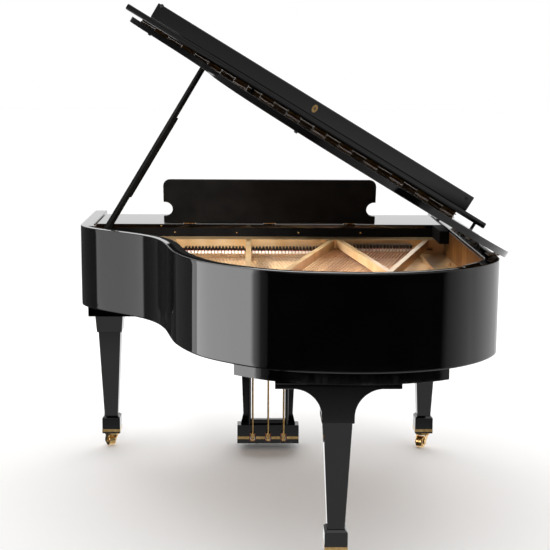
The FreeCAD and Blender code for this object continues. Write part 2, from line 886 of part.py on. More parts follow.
bumpers = []
bumper_shares = ((-0.80, 0.45), (-0.62, 0.94), (0.07, 0.90), (0.90, 0.31))
for across, along in bumper_shares:
    foot = V(half_width * across, case_length * along, lid_bottom - bumper_height)
    bumpers.append(Part.makeCylinder(bumper_radius, bumper_height, foot))
spacer_shares = ((-0.995, 0.47), (0.30, 0.40))
for across, along in spacer_shares:
    foot = V(half_width * across, case_length * along, lid_top)
    bumpers.append(Part.makeCylinder(bumper_radius, flap_hinge_rise + flap_hinge_rise - spacer_gap, foot))
parts["lid_bumpers"] = opened(Part.makeCompound(bumpers))

# Prop stick: its pin lies square to the standing and to the folded direction
lid_rise = math.radians(lid_open_angle)
lid_run = V(math.cos(lid_rise), 0, math.sin(lid_rise))
lid_normal = V(-math.sin(lid_rise), 0, math.cos(lid_rise))
prop_foot = (half_width - prop_inset, bend_start - prop_foot_back, web_top + prop_foot_rise)
prop_base = V(*prop_foot)
cup_place = V(lid_hinge_x, prop_reach_y, lid_hinge_z).add(lid_run * prop_lid_run)
cup_place = cup_place.add(lid_normal * (lid_bottom - lid_hinge_z))
prop_line = cup_place.sub(prop_base)
prop_length = prop_line.Length - prop_tip_gap
prop_up = V(*prop_line).normalize()
prop_fold = V(*prop_fold_share).normalize()
prop_pin = prop_up.cross(prop_fold).normalize()


def set_in(shape, origin, x_axis, z_axis):
    y_axis = z_axis.cross(x_axis)
    matrix = FreeCAD.Matrix(x_axis.x, y_axis.x, z_axis.x, origin.x,
                            x_axis.y, y_axis.y, z_axis.y, origin.y,
                            x_axis.z, y_axis.z, z_axis.z, origin.z,
                            0, 0, 0, 1)
    return shape.transformed(matrix, copy=True)


half_depth = prop_depth / 2
stick_wires = []
for z, wide in ((prop_shoulder, prop_width), (prop_length, prop_tip_width)):
    w = wide / 2
    corners = ((-half_depth, -w), (half_depth, -w), (half_depth, w), (-half_depth, w), (-half_depth, -w))
    stick_wires.append(Part.makePolygon([V(a, b, z) for a, b in corners]))
stick = Part.makeLoft(stick_wires, True, True)
stick = stick.fuse(rod((-half_depth, 0, 0), (half_depth, 0, 0), prop_eye))
stick = stick.cut(rod((-prop_width, 0, 0), (prop_width, 0, 0), prop_pin_radius + running_gap))
half_face = half_depth + half_stick_gap
half_back = half_face + half_stick_depth
stud = rod((0, 0, half_stick_foot), (half_back, 0, half_stick_foot), half_pin_radius)
parts["prop_stick"] = set_in(stick.fuse(stud).removeSplitter(), prop_base, prop_pin, prop_up)
w = half_stick_width / 2
half_stick = fuse([
    box(half_face, -w, half_stick_foot, half_back, w, half_stick_foot + half_stick_length),
    rod((half_face, 0, half_stick_foot), (half_back, 0, half_stick_foot), w)])
half_stick = half_stick.cut(rod((0, 0, half_stick_foot), (half_back + overrun, 0, half_stick_foot),
                                half_pin_radius + running_gap))
parts["half_stick"] = set_in(half_stick, prop_base, prop_pin, prop_up)

cheek_in = half_depth + bracket_gap
cheek_out = cheek_in + bracket_thick
cheeks = [rod((-cheek_out, 0, 0), (cheek_out, 0, 0), prop_pin_radius)]
for side in (-1, 1):
    x0 = min(side * cheek_in, side * cheek_out)
    x1 = max(side * cheek_in, side * cheek_out)
    cheeks.append(box(x0, -bracket_half, -bracket_drop, x1, bracket_half, 0))
    cheeks.append(rod((x0, 0, 0), (x1, 0, 0), bracket_half))
cheeks = set_in(fuse(cheeks), prop_base, prop_pin, prop_up)
base = box(prop_base.x - bracket_base_half, prop_base.y - bracket_base_half, web_top,
           prop_base.x + bracket_base_half, prop_base.y + bracket_base_half, web_top + bracket_base_thick)
room = box(prop_base.x - bracket_base_half, prop_base.y - bracket_base_half, web_top,
           prop_base.x + bracket_base_half, prop_base.y + bracket_base_half, rim_top)
parts["prop_bracket"] = fuse([base, cheeks.common(room)])

out_run = prop_fold.sub(lid_normal * prop_fold.dot(lid_normal)).normalize()
cup = Part.makeCylinder(cup_radius, cup_height).cut(Part.makeCylinder(cup_bore, cup_height))
cup = cup.cut(box(0, -cup_bore, 0, cup_radius + overrun, cup_bore, cup_height))
parts["prop_cup"] = set_in(cup, cup_place.sub(lid_normal * cup_height), out_run, lid_normal)

# Legs, ferrules and casters
leg_x = half_width - leg_inset
tail_leg_y = case_length - tail_leg_inset
leg_places = {
    "bass": (-leg_x, leg_y, leg_head),
    "treble": (leg_x, leg_y, leg_head),
    "tail": (tail_leg_x, tail_leg_y, bracket_foot),
}
for name, (x, y, head) in leg_places.items():
    parts["leg_" + name] = taper(x, y, leg_foot, leg_foot_width, head, leg_top_width)
collars = []
for name in ("bass", "treble"):
    x, y, head = leg_places[name]
    collars.append(taper(x, y, head, collar_bottom_width, keybed_bottom, collar_top_width))
parts["leg_collars"] = Part.makeCompound(collars)


def bracket_profile():
    x = tail_leg_x
    y = tail_leg_y - bracket_depth / 2
    plate_half = bracket_plate_width / 2
    foot_half = bracket_foot_width / 2
    under = plinth_bottom - bracket_plate_thick
    edges = [Part.makeLine(V(x - plate_half, y, plinth_bottom), V(x + plate_half, y, plinth_bottom)),
             Part.makeLine(V(x - foot_half, y, bracket_foot), V(x + foot_half, y, bracket_foot))]
    for side in (-1, 1):
        end = x + side * plate_half
        arc_top = V(x + side * (plate_half - bracket_arc_inset), y, under)
        arc_low = V(x + side * foot_half, y, bracket_foot + bracket_plate_thick)
        sag = V(arc_low.x + side * (abs(arc_top.x - arc_low.x) * arc_sag_share), y,
                arc_low.z + (arc_top.z - arc_low.z) * (1 - arc_sag_share))
        edges.append(Part.makeLine(V(end, y, plinth_bottom), V(end, y, under)))
        edges.append(Part.makeLine(V(end, y, under), arc_top))
        edges.append(Part.Arc(arc_top, sag, arc_low).toShape())
        edges.append(Part.makeLine(arc_low, V(arc_low.x, y, bracket_foot)))
    return Part.Face(Part.Wire(Part.__sortEdges__(edges)))


arc_sag_share = 0.30
parts["tail_bracket"] = bracket_profile().extrude(V(0, bracket_depth, 0))

ferrules = []
sockets = []
ferrule_shoulder = leg_foot - ferrule_chamfer
for name, (x, y, head) in leg_places.items():
    block = fuse([
        taper(x, y, ferrule_bottom, ferrule_width, ferrule_shoulder, ferrule_width),
        taper(x, y, ferrule_shoulder, ferrule_width,
              leg_foot, ferrule_width - ferrule_chamfer - ferrule_chamfer)])
    bore = rod((x, y, 0), (x, y, stem_top + seat_gap), stem_radius + running_gap)
    ferrules.append(block.cut(bore))
    disc = rod((x, y, socket_bottom), (x, y, ferrule_bottom), socket_radius)
    sockets.append(disc.cut(bore))
parts["leg_ferrules"] = Part.makeCompound(ferrules)
parts["caster_sockets"] = Part.makeCompound(sockets)

wheel_stack = wheel_width + wheel_gap / 2
cheek_inner = wheel_stack + wheel_gap
cheek_outer = cheek_inner + fork_cheek
disc_bottom = fork_disc_top - fork_disc_thick


def caster_fork():
    pieces = [rod((0, 0, disc_bottom), (0, 0, fork_disc_top), fork_disc_radius),
              rod((0, 0, fork_disc_top), (0, 0, stem_top), stem_radius)]
    w = fork_cheek_width / 2
    for side in (-1, 1):
        x = min(side * cheek_inner, side * cheek_outer)
        points = ((x, -w, disc_bottom), (x, w, disc_bottom), (x, trail + axle_boss, wheel_radius),
                  (x, trail - axle_boss, wheel_radius))
        pieces.append(prism(points, (fork_cheek, 0, 0)))
        pieces.append(rod((x, trail, wheel_radius), (x + fork_cheek, trail, wheel_radius), axle_boss))
    bore = rod((-cheek_outer, trail, wheel_radius), (cheek_outer, trail, wheel_radius),
               axle_radius + running_gap)
    return fuse(pieces).cut(bore)


def caster_wheels():
    pieces = [rod((-cheek_outer, trail, wheel_radius), (cheek_outer, trail, wheel_radius), axle_radius)]
    for side in (-1, 1):
        x0 = side * wheel_gap / 2
        x1 = side * wheel_stack
        wheel = rod((x0, trail, wheel_radius), (x1, trail, wheel_radius), wheel_radius)
        rims = [e for e in wheel.Edges if e.Curve.TypeId == "Part::GeomCircle"]
        outer = [e for e in rims if abs(e.CenterOfMass.x - x1) < wheel_gap / 2]
        pieces.append(wheel.makeFillet(wheel_round, outer))
    pieces.append(rod((-wheel_gap, trail, wheel_radius), (wheel_gap, trail, wheel_radius),
                      wheel_radius - wheel_round))
    return fuse(pieces)


for (name, (x, y, head)), turn in zip(leg_places.items(), caster_turn_angles):
    for kind, shape in (("caster_fork_", caster_fork()), ("caster_wheels_", caster_wheels())):
        shape.rotate(V(0, 0, 0), V(0, 0, 1), turn)
        shape.translate(V(x, y, 0))
        parts[kind + name] = shape

# Lyre with its three pedals and rods
head_bottom = keybed_bottom - lyre_head_thick
lyre_head = box(-lyre_head_width / 2, lyre_y - lyre_head_depth / 2, head_bottom,
                lyre_head_width / 2, lyre_y + lyre_head_depth / 2, keybed_bottom)


def pillar(side):
    wires = []
    sections = ((lyre_board_top, pillar_foot_out, pillar_depth),
                (pillar_waist, pillar_waist_out, pillar_waist_depth),
                (head_bottom, pillar_head_out, pillar_depth))
    for z, out, deep in sections:
        b = deep / 2
        corners = ((pillar_in, -b), (out, -b), (out, b), (pillar_in, b), (pillar_in, -b))
        wires.append(Part.makePolygon([V(side * p, lyre_y + q, z) for p, q in corners]))
    return Part.makeLoft(wires, True, True)


braces = []
brace_room = box(-lyre_head_width, 0, lyre_board_top, lyre_head_width, case_length, keybed_bottom)
for side in (-1, 1):
    foot = V(side * brace_x, brace_foot, lyre_board_top)
    line = V(side * brace_x, brace_back, keybed_bottom).sub(foot)
    run = V(line).normalize() * overrun
    low = foot.sub(run)
    high = foot.add(line).add(run)
    braces.append(rod(tuple(low), tuple(high), brace_radius).common(brace_room))
lyre_rods = [s for b in braces for s in b.Solids]
parts["lyre_frame"] = Part.makeCompound([lyre_head, pillar(-1), pillar(1)] + lyre_rods)

box_half = lyre_box_width / 2
pedal_box = fuse([
    box(-box_half, lyre_box_front, lyre_box_bottom, box_half, lyre_box_back, lyre_box_top),
    box(-box_half, lyre_board_front, lyre_box_top, box_half, lyre_box_back, lyre_board_top)])
pedal_names = ("soft", "sostenuto", "sustain")
slot_half = pedal_width / 2 + pedal_slot_gap
pin_half = slot_half + pedal_pin_reach
cuts = []
for place, name in zip((-1, 0, 1), pedal_names):
    x = place * pedal_pitch
    cuts.append(box(x - slot_half, lyre_box_front - overrun, pedal_slot_bottom,
                    x + slot_half, lyre_box_back + overrun, pedal_slot_top))
    cuts.append(rod((x - pin_half - seat_gap, pedal_pivot_y, pedal_level),
                    (x + pin_half + seat_gap, pedal_pivot_y, pedal_level),
                    pedal_pin_radius + running_gap))
    low = pedal_level - pedal_thick / 2
    top = pedal_level + pedal_thick / 2
    pad = box(x - pedal_pad_width / 2, pedal_front, low, x + pedal_pad_width / 2,
              pedal_front + pedal_pad_length, top)
    corners = [e for e in pad.Edges if e.BoundBox.ZLength > e.BoundBox.XLength + e.BoundBox.YLength]
    front = [e for e in corners if e.CenterOfMass.y < pedal_front + overrun]
    pad = pad.makeFillet(pedal_width, front)
    shank = box(x - pedal_width / 2, pedal_front + pedal_pad_length / 2, low, x + pedal_width / 2,
                pedal_tail, top)
    pin = rod((x - pin_half, pedal_pivot_y, pedal_level), (x + pin_half, pedal_pivot_y, pedal_level),
              pedal_pin_radius)
    parts["pedal_" + name] = fuse([pad, shank, pin])
    tip = top + rod_gap
    block = rod_block / 2
    parts["rod_" + name] = fuse([
        rod((x, rod_y, tip), (x, rod_y, rod_top), rod_radius),
        box(x - block, rod_y - block, tip + rod_block_rise, x + block, rod_y + block,
            tip + rod_block_rise + rod_block)])
parts["pedal_box"] = pedal_box.cut(cuts)

os.makedirs("parts", exist_ok=True)
for name, shape in parts.items():
    shape.exportStep("parts/" + name + ".step")
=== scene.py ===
import json
import math
import bmesh
import bpy
from mathutils import Matrix, Vector


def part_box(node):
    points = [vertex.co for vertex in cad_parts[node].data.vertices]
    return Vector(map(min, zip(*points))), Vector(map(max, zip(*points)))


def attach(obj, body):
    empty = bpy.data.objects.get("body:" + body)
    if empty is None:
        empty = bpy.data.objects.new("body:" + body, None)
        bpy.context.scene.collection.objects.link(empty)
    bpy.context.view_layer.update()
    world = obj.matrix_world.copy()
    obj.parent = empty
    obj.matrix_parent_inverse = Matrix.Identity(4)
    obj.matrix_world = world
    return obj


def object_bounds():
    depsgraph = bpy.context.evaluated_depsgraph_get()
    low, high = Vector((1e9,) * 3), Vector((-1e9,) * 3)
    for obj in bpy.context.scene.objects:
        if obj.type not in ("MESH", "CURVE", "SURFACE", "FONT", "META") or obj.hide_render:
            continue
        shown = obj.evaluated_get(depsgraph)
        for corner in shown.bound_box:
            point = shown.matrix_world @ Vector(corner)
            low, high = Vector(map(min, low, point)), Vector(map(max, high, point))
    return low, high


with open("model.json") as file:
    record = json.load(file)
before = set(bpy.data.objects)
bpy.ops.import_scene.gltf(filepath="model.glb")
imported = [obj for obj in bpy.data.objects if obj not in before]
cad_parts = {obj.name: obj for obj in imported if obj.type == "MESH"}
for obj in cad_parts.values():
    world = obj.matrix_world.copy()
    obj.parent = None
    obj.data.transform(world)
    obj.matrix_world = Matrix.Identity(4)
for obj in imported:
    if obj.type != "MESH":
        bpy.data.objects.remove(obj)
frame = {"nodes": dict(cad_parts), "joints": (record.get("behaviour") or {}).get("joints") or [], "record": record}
cad_low, cad_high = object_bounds()
nodes = frame["nodes"]
joints = {joint["name"]: joint for joint in frame["joints"]}

# All sizes are in metres
mm = 0.001
up = Vector((0, 0, 1))


# Colours and shader nodes
def linear(code):
    # An sRGB hex colour as linear values
    values = [int(code[i:i + 2], 16) / 255 for i in (1, 3, 5)]
    return tuple(v / 12.92 if v <= 0.04045 else ((v + 0.055) / 1.055) ** 2.4 for v in values) + (1.0,)


def node(tree, kind, inputs, stops=(), **settings):
    # Adds a node with its settings and colour stops, and fills or links its inputs
    made = tree.nodes.new(kind)
    for name, value in settings.items():
        setattr(made, name, value)
    for index, (position, code) in enumerate(stops):
        band = made.color_ramp.elements
        stop = band[index] if index < len(band) else band.new(1.0)
        stop.position = position
        stop.color = linear(code)
    for socket, value in inputs.items():
        if isinstance(value, bpy.types.Node):
            value = value.outputs[0]
        if isinstance(value, bpy.types.NodeSocket):
            tree.links.new(value, made.inputs[socket])
        else:
            made.inputs[socket].default_value = value
    return made


def per_metre(size_mm):
    # The scale of a pattern whose detail has this size
    return 1.0 / (size_mm * mm)


def blank_material(name):
    material = bpy.data.materials.new(name)
    material.use_nodes = True
    tree = material.node_tree
    tree.nodes.clear()
    place = node(tree, "ShaderNodeTexCoord", {}).outputs["Object"]
    return material, tree, place


# Black polyester over the case, rubbed to a mirror: deep black with a faint polishing haze
def black_polyester(name):
    material, tree, place = blank_material(name)
    haze = node(tree, "ShaderNodeTexNoise", {"Vector": place, "Scale": per_metre(140), "Detail": 3.0})
    swirl = node(tree, "ShaderNodeTexNoise", {"Vector": place, "Scale": per_metre(4), "Detail": 6.0})
    colour = node(tree, "ShaderNodeValToRGB", {"Fac": haze}, stops=((0.3, "#030303"), (0.7, "#060505")))
    rough = node(tree, "ShaderNodeMapRange", {"Value": swirl, "To Min": 0.02, "To Max": 0.06})
    surface = node(tree, "ShaderNodeBsdfPrincipled",
                   {"Base Color": colour, "Roughness": rough, "IOR": 1.54})
    node(tree, "ShaderNodeOutputMaterial", {"Surface": surface})
    return material, place, rough, surface


# The same on the rim: its edges catch the light as if rubbed round, and the flat step inside them is
# left unpolished
def rim_black(step_height):
    material, place, rough, surface = black_polyester("black_polyester_rim")
    tree = material.node_tree
    height = node(tree, "ShaderNodeSeparateXYZ", {"Vector": place}).outputs["Z"]
    lie = node(tree, "ShaderNodeNewGeometry", {}).outputs["True Normal"]
    level = node(tree, "ShaderNodeSeparateXYZ", {"Vector": lie}).outputs["Z"]
    flat = node(tree, "ShaderNodeMath", {0: level, 1: 0.9}, operation="GREATER_THAN")
    near = node(tree, "ShaderNodeMath", {0: height, 1: step_height, 2: 0.5 * mm}, operation="COMPARE")
    dull = node(tree, "ShaderNodeMath", {0: flat, 1: near}, operation="MULTIPLY")
    skin = node(tree, "ShaderNodeMath", {0: dull, 1: 0.7, 2: rough}, operation="MULTIPLY_ADD")
    shine = node(tree, "ShaderNodeMapRange", {"Value": dull, "To Min": 0.5, "To Max": 0.05})
    edge = node(tree, "ShaderNodeBevel", {"Radius": 8 * mm}, samples=8)
    for socket, made in (("Roughness", skin), ("Specular IOR Level", shine), ("Normal", edge)):
        tree.links.new(made.outputs[0], surface.inputs[socket])
    return material


# Black lacquer or stain without polish: a soft, spread highlight over closed grain
def dull_black(name, gloss, shine):
    material, tree, place = blank_material(name)
    grain = node(tree, "ShaderNodeTexNoise", {"Vector": place, "Scale": per_metre(1.2), "Detail": 4.0})
    broad = node(tree, "ShaderNodeTexNoise", {"Vector": place, "Scale": per_metre(60), "Detail": 2.0})
    colour = node(tree, "ShaderNodeValToRGB", {"Fac": broad}, stops=((0.3, "#0b0b0b"), (0.7, "#141312")))
    rough = node(tree, "ShaderNodeMapRange", {"Value": broad, "To Min": gloss, "To Max": gloss + 0.14})
    relief = node(tree, "ShaderNodeBump", {"Height": grain, "Strength": 0.12, "Distance": 0.3 * mm})
    surface = node(tree, "ShaderNodeBsdfPrincipled",
                   {"Base Color": colour, "Roughness": rough, "Normal": relief, "IOR": 1.5,
                    "Specular IOR Level": shine})
    node(tree, "ShaderNodeOutputMaterial", {"Surface": surface})
    return material


# Wood cut along its fibres: fine streaks over a broader figure, both drawn out along the grain
def grained_wood(name, tones, along, grain_mm, gloss):
    material, tree, place = blank_material(name)
    streak_length, figure_width = 14, 9
    fine = [per_metre(grain_mm)] * 3
    fine[along] = per_metre(grain_mm * streak_length)
    broad = [scale / figure_width for scale in fine]
    fine_lie = node(tree, "ShaderNodeMapping", {"Vector": place, "Scale": fine})
    broad_lie = node(tree, "ShaderNodeMapping", {"Vector": place, "Scale": broad})
    fibre = node(tree, "ShaderNodeTexNoise",
                 {"Vector": fine_lie, "Scale": 1.0, "Detail": 6.0, "Roughness": 0.62, "Distortion": 0.35})
    figure = node(tree, "ShaderNodeTexNoise",
                  {"Vector": broad_lie, "Scale": 1.0, "Detail": 3.0, "Distortion": 0.8})
    both = node(tree, "ShaderNodeMath", {0: fibre, 1: figure}, operation="ADD")
    half = node(tree, "ShaderNodeMath", {0: both, 1: 0.5}, operation="MULTIPLY")
    colour = node(tree, "ShaderNodeValToRGB", {"Fac": half}, stops=tuple(zip((0.34, 0.5, 0.66), tones)))
    rough = node(tree, "ShaderNodeMapRange", {"Value": fibre, "To Min": gloss, "To Max": gloss + 0.14})
    relief = node(tree, "ShaderNodeBump", {"Height": fibre, "Strength": 0.15, "Distance": 0.2 * mm})
    surface = node(tree, "ShaderNodeBsdfPrincipled",
                   {"Base Color": colour, "Roughness": rough, "Normal": relief, "IOR": 1.48})
    node(tree, "ShaderNodeOutputMaterial", {"Surface": surface})
    return material


# Iron casting sprayed with gold bronze lacquer: warm, soft metal sheen over a sandy skin
def gold_bronze_iron():
    material, tree, place = blank_material("gold_bronze_cast_iron")
    sand = node(tree, "ShaderNodeTexNoise", {"Vector": place, "Scale": per_metre(2.2), "Detail": 5.0})
    cloud = node(tree, "ShaderNodeTexNoise", {"Vector": place, "Scale": per_metre(85), "Detail": 2.0})
    colour = node(tree, "ShaderNodeValToRGB", {"Fac": cloud},
                  stops=((0.28, "#c8a06c"), (0.72, "#dfbf92")))
    rough = node(tree, "ShaderNodeMapRange", {"Value": sand, "To Min": 0.26, "To Max": 0.4})
    relief = node(tree, "ShaderNodeBump", {"Height": sand, "Strength": 0.15, "Distance": 0.35 * mm})
    surface = node(tree, "ShaderNodeBsdfPrincipled",
                   {"Base Color": colour, "Roughness": rough, "Normal": relief, "Metallic": 0.35,
                    "Coat Weight": 0.5, "Coat Roughness": 0.15})
    node(tree, "ShaderNodeOutputMaterial", {"Surface": surface})
    return material


# Brass, buffed and lacquered: fine rub marks and uneven darkening; its darker copy on the hinges is painted shade
def rubbed_brass(name, tones, gloss):
    material, tree, place = blank_material(name)
    rub = node(tree, "ShaderNodeTexNoise", {"Vector": place, "Scale": per_metre(1.5), "Detail": 5.0})
    tarnish = node(tree, "ShaderNodeTexNoise", {"Vector": place, "Scale": per_metre(16), "Detail": 3.0})
    colour = node(tree, "ShaderNodeValToRGB", {"Fac": tarnish}, stops=tuple(zip((0.25, 0.6, 0.8), tones)))
    rough = node(tree, "ShaderNodeMapRange", {"Value": rub, "To Min": gloss, "To Max": gloss + 0.14})
    surface = node(tree, "ShaderNodeBsdfPrincipled",
                   {"Base Color": colour, "Roughness": rough, "Metallic": 1.0})
    node(tree, "ShaderNodeOutputMaterial", {"Surface": surface})
    return material


# Drawn or wound wire: rings along the wire, drawn coarser than the real winding so that they show
def wire(name, low, high, ring_mm, gloss):
    material, tree, place = blank_material(name)
    # A wave of scale 1 runs through 20 radians in a metre
    one_ring = 2 * math.pi / 20
    rings = node(tree, "ShaderNodeTexWave",
                 {"Vector": place, "Scale": one_ring * per_metre(ring_mm), "Distortion": 0.0},
                 wave_type="BANDS", bands_direction="Y")
    tone = node(tree, "ShaderNodeTexNoise", {"Vector": place, "Scale": per_metre(30), "Detail": 2.0})
    colour = node(tree, "ShaderNodeValToRGB", {"Fac": tone}, stops=((0.3, low), (0.7, high)))
    rough = node(tree, "ShaderNodeMapRange", {"Value": tone, "To Min": gloss, "To Max": gloss + 0.12})
    relief = node(tree, "ShaderNodeBump", {"Height": rings, "Strength": 0.35, "Distance": 0.3 * mm})
    surface = node(tree, "ShaderNodeBsdfPrincipled",
                   {"Base Color": colour, "Roughness": rough, "Normal": relief, "Metallic": 0.5})
    node(tree, "ShaderNodeOutputMaterial", {"Surface": surface})
    return material


# Pressed wool felt: matt, with a short fuzzy nap
def wool_felt(name, low, high):
    material, tree, place = blank_material(name)
    nap = node(tree, "ShaderNodeTexNoise", {"Vector": place, "Scale": per_metre(0.7), "Detail": 5.0})
    colour = node(tree, "ShaderNodeValToRGB", {"Fac": nap}, stops=((0.3, low), (0.7, high)))
    relief = node(tree, "ShaderNodeBump", {"Height": nap, "Strength": 0.4, "Distance": 0.4 * mm})
    surface = node(tree, "ShaderNodeBsdfPrincipled",
                   {"Base Color": colour, "Normal": relief, "Roughness": 0.95, "Sheen Weight": 0.35,
                    "Sheen Roughness": 0.5})
    node(tree, "ShaderNodeOutputMaterial", {"Surface": surface})
    return material


# White keys: buffed acrylic tops and fronts glued on a pale wooden stick, which shows at the sides
def acrylic_on_wood():
    material, tree, place = blank_material("ivory_white_acrylic")
    key_low, key_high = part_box("white_keys")
    top_thick = 2.2 * mm
    cloud = node(tree, "ShaderNodeTexNoise", {"Vector": place, "Scale": per_metre(35), "Detail": 3.0})
    acrylic = node(tree, "ShaderNodeValToRGB", {"Fac": cloud},
                   stops=((0.3, "#e9e4d8"), (0.7, "#f3efe6")))
    lie = node(tree, "ShaderNodeMapping",
               {"Vector": place, "Scale": (per_metre(2), per_metre(40), per_metre(2))})
    fibre = node(tree, "ShaderNodeTexNoise", {"Vector": lie, "Scale": 1.0, "Detail": 5.0})
    wood = node(tree, "ShaderNodeValToRGB", {"Fac": fibre}, stops=((0.3, "#b98f5c"), (0.7, "#d9b888")))
    parts = node(tree, "ShaderNodeSeparateXYZ", {"Vector": place})
    above = node(tree, "ShaderNodeMath", {0: parts.outputs["Z"], 1: key_high.z - top_thick},
                 operation="GREATER_THAN")
    ahead = node(tree, "ShaderNodeMath", {0: parts.outputs["Y"], 1: key_low.y + top_thick},
                 operation="LESS_THAN")
    covered = node(tree, "ShaderNodeMath", {0: above, 1: ahead}, operation="MAXIMUM")
    colour = node(tree, "ShaderNodeMix", {0: covered, 6: wood, 7: acrylic}, data_type="RGBA")
    rough = node(tree, "ShaderNodeMapRange", {"Value": covered, "To Min": 0.6, "To Max": 0.2})
    surface = node(tree, "ShaderNodeBsdfPrincipled",
                   {"Base Color": colour.outputs[2], "Roughness": rough, "IOR": 1.49})
    node(tree, "ShaderNodeOutputMaterial", {"Surface": surface})
    return material


# Stained ebony keys: matt black with open pores along the key
def stained_ebony():
    material, tree, place = blank_material("stained_ebony")
    lie = node(tree, "ShaderNodeMapping",
               {"Vector": place, "Scale": (per_metre(1.2), per_metre(18), per_metre(1.2))})
    pore = node(tree, "ShaderNodeTexNoise", {"Vector": lie, "Scale": 1.0, "Detail": 4.0})
    colour = node(tree, "ShaderNodeValToRGB", {"Fac": pore}, stops=((0.3, "#0b0a0a"), (0.7, "#191716")))
    rough = node(tree, "ShaderNodeMapRange", {"Value": pore, "To Min": 0.32, "To Max": 0.5})
    relief = node(tree, "ShaderNodeBump", {"Height": pore, "Strength": 0.15, "Distance": 0.15 * mm})
    surface = node(tree, "ShaderNodeBsdfPrincipled",
                   {"Base Color": colour, "Roughness": rough, "Normal": relief, "IOR": 1.5})
    node(tree, "ShaderNodeOutputMaterial", {"Surface": surface})
    return material


# Moulded rubber: dull black with a dusty bloom
def moulded_rubber():
    material, tree, place = blank_material("moulded_rubber")
    bloom = node(tree, "ShaderNodeTexNoise", {"Vector": place, "Scale": per_metre(3), "Detail": 4.0})
    colour = node(tree, "ShaderNodeValToRGB", {"Fac": bloom}, stops=((0.3, "#101010"), (0.7, "#201f1e")))
    rough = node(tree, "ShaderNodeMapRange", {"Value": bloom, "To Min": 0.55, "To Max": 0.75})
    relief = node(tree, "ShaderNodeBump", {"Height": bloom, "Strength": 0.1, "Distance": 0.2 * mm})
    surface = node(tree, "ShaderNodeBsdfPrincipled",
                   {"Base Color": colour, "Roughness": rough, "Normal": relief, "IOR": 1.52})
    node(tree, "ShaderNodeOutputMaterial", {"Surface": surface})
    return material


rebate_depth = 3 * mm
polyester = black_polyester("black_polyester_polished")[0]
rim_polyester = rim_black(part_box("outer_rim")[1].z - rebate_depth)
satin = dull_black("black_satin_lacquer", 0.28, 0.5)
stain = dull_black("black_wood_stain", 0.7, 0.1)
veneer = grained_wood("honey_mahogany_veneer", ("#3b240e", "#764a22", "#b07d44"), 2, 5.0, 0.3)
maple = grained_wood("sealed_maple", ("#8a6136", "#ab7f4a", "#c39a63"), 1, 6.0, 0.4)
spruce = grained_wood("varnished_spruce", ("#b08a5c", "#cba679", "#debe93"), 1, 4.0, 0.3)
beech = grained_wood("oiled_beech", ("#7d522d", "#9c6c3f", "#b98856"), 0, 4.0, 0.4)
gold_iron = gold_bronze_iron()
brass = rubbed_brass("polished_brass", ("#b48c4e", "#d9b67e", "#e8cf9f"), 0.16)
# The hinges' brass is a darker copy of the same brass: painted shade for the shade the hinges sit in between lid
# and flap
hinge_brass_dark_shade = rubbed_brass("hinge_brass_painted_shade", ("#4a3115", "#6e4b22", "#86602f"), 0.3)
steel_wire = wire("drawn_steel_wire", "#c9c6c0", "#ebe8e2", 6.0, 0.2)
copper_wire = wire("wound_copper_wire", "#d0a288", "#efccb4", 6.0, 0.3)
white_felt = wool_felt("white_wool_felt", "#e2dccf", "#f7f4ec")
red_felt = wool_felt("red_wool_felt", "#8c1616", "#b32626")
ivory = acrylic_on_wood()
ebony = stained_ebony()
rubber = moulded_rubber()

finish_of_slot = {
    "ebony_polish": polyester, "rim_veneer": veneer, "rim_maple": maple, "spruce": spruce,
    "bridge_beech": beech, "gold_iron": gold_iron, "steel": steel_wire, "copper": copper_wire,
    "damper_black": satin, "white_felt": white_felt, "key_white": ivory, "key_black": ebony,
    "rubber": rubber, "brass": brass,
}
for piece in frame["record"]["subparts"]:
    mesh = nodes[piece["node"]].data
    mesh.materials.clear()
    mesh.materials.append(finish_of_slot[piece["material_slot"]])
for name, finish in (
        ("outer_rim", rim_polyester), ("shelf_rail", stain), ("desk_panel", stain), ("prop_stick", stain),
        ("half_stick", stain), ("flap_hinges", hinge_brass_dark_shade), ("flap_hinge_leaves", hinge_brass_dark_shade),
        ("lid_hinges", hinge_brass_dark_shade), ("lid_hinge_leaves", hinge_brass_dark_shade)):
    nodes[name].data.materials[0] = finish


# Edges of the solids, rubbed round before polishing
smoothing = bpy.data.node_groups.new("smooth_faces", "GeometryNodeTree")
smoothing.interface.new_socket("Geometry", in_out="INPUT", socket_type="NodeSocketGeometry")
smoothing.interface.new_socket("Geometry", in_out="OUTPUT", socket_type="NodeSocketGeometry")
solid = node(smoothing, "NodeGroupInput", {})
smooth = node(smoothing, "GeometryNodeSetShadeSmooth", {"Geometry": solid})
node(smoothing, "NodeGroupOutput", {"Geometry": smooth})


def round_edges(name, radius_mm):
    # The solid comes as loose triangles, so it is welded and its flat faces are made whole first
    piece = nodes[name]
    weld = piece.modifiers.new("weld", "WELD")
    weld.merge_threshold = 0.01 * mm
    flat = piece.modifiers.new("flat_faces", "DECIMATE")
    flat.decimate_type = "DISSOLVE"
    flat.angle_limit = math.radians(0.5)
    edge = piece.modifiers.new("round_edges", "BEVEL")
    edge.width = radius_mm * mm
    edge.segments = 3
    edge.limit_method = "ANGLE"
    edge.angle_limit = math.radians(35)
    piece.modifiers.new("smooth_faces", "NODES").node_group = smoothing
    even = piece.modifiers.new("even_shading", "WEIGHTED_NORMAL")
    even.keep_sharp = True


